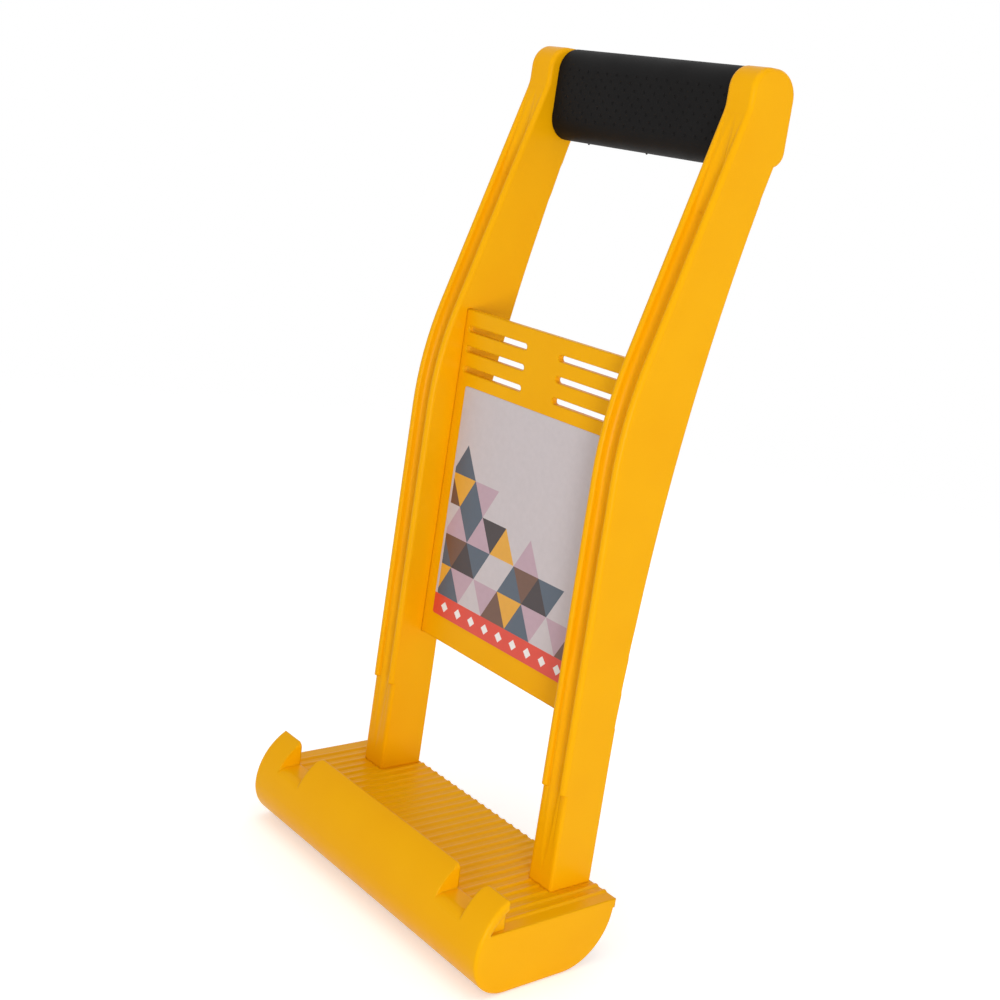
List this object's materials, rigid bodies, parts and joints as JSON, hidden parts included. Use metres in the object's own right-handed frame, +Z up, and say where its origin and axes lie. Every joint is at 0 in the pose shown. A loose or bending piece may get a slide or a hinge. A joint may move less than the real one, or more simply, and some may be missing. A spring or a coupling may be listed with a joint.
{
  "type": "panel carrier",
  "caption": "Hand tool for carrying building boards: a hooked base under two grooved braces with a slotted plate between them and a soft grip bar on top.",
  "frame": {"origin": "middle of the length and depth, on the floor under the flat foot", "axes": "+X along the base to the right, +Y to the back, +Z up to the grip"},
  "size_m": [0.17, 0.1176, 0.3783],
  "materials": {
    "yellow_plastic": "satin moulded plastic",
    "core_plastic": "plain moulded plastic",
    "grip_rubber": "dimpled soft rubber",
    "label_film": "printed film",
    "screw_steel": "zinc plated"
  },
  "bodies": {
    "root": {"base": "yellow_plastic", "left_brace": "yellow_plastic", "right_brace": "yellow_plastic", "liner_plate": "yellow_plastic", "handle_core": "core_plastic", "grip": "grip_rubber", "label": "label_film", "foot_screws": "screw_steel", "core_screws": "screw_steel"}
  },
  "joints": []
}
